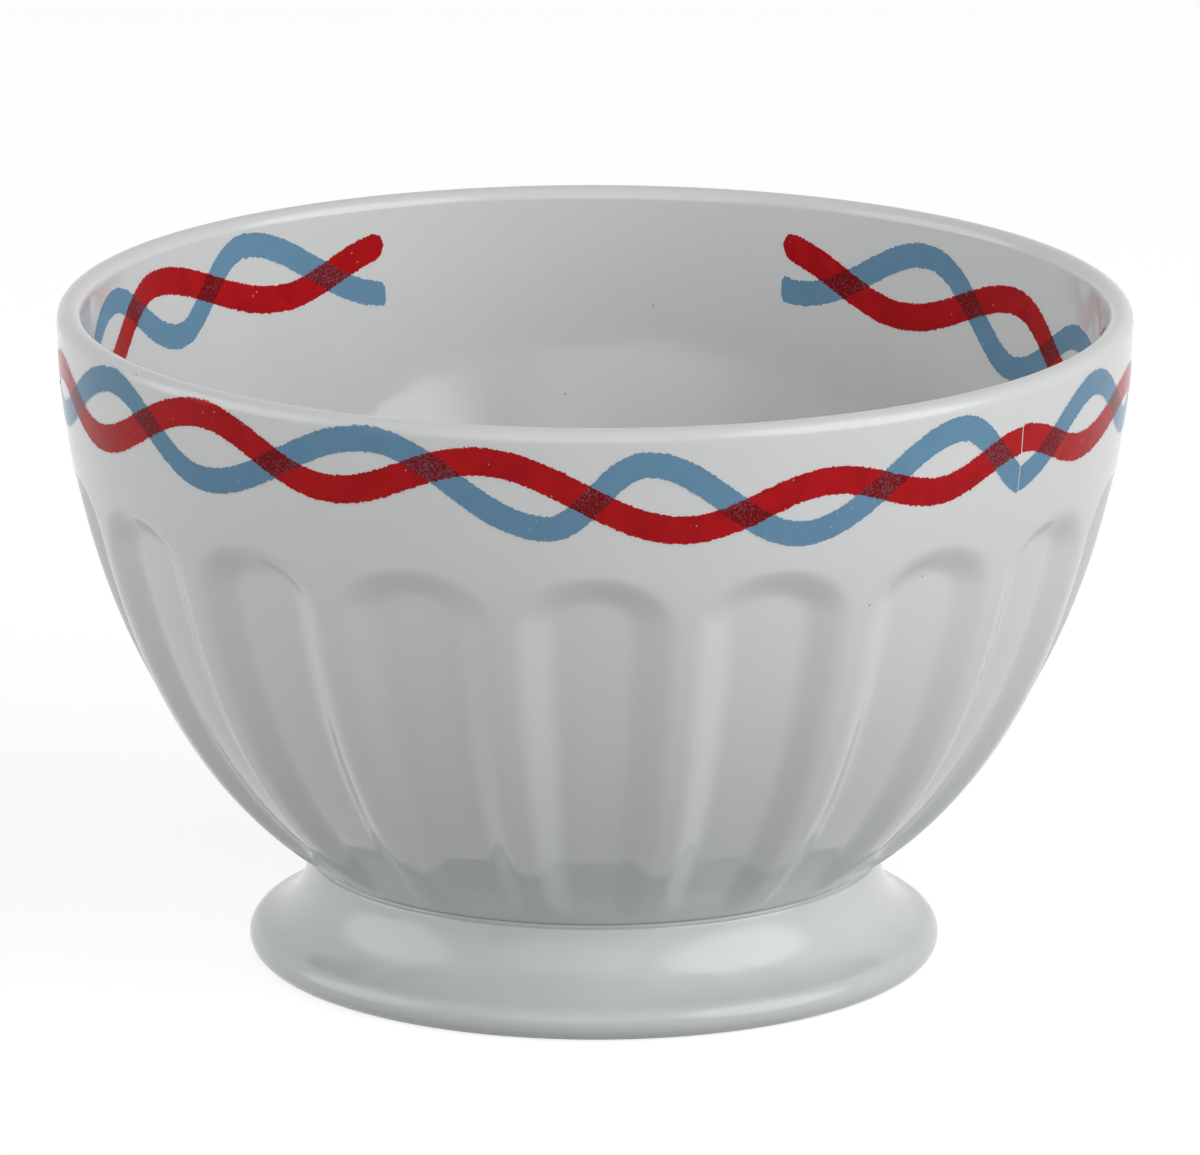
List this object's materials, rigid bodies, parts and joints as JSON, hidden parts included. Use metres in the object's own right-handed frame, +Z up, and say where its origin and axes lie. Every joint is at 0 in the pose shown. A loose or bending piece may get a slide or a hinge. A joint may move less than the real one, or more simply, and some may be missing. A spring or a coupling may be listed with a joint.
{
  "type": "footed bowl",
  "caption": "Footed porcelain bowl with a fluted outside, a flared hollow foot and a red and blue twisted ribbon border printed inside and outside under a rounded lip.",
  "frame": {"origin": "on the table, under the middle of the foot", "axes": "+Z up along the axis of the bowl, -Y towards the viewer, so that the bare gap of the inside border is at +Y"},
  "size_m": [0.1406, 0.1407, 0.087],
  "materials": {
    "white_glaze": "glossy clear glaze over white porcelain, with a bare standing ring",
    "slip": "sponged smooth under the glaze",
    "blue_print": "fired transfer print, glossy, with a slightly ragged edge",
    "red_print": "fired transfer print, glossy, with a slightly ragged edge"
  },
  "bodies": {
    "root": {"bowl": "white_glaze", "foot": "white_glaze", "slip_joint": "slip", "outer_blue_ribbon": "blue_print", "outer_red_ribbon": "red_print", "inner_blue_ribbon": "blue_print", "inner_red_ribbon": "red_print"}
  },
  "joints": []
}
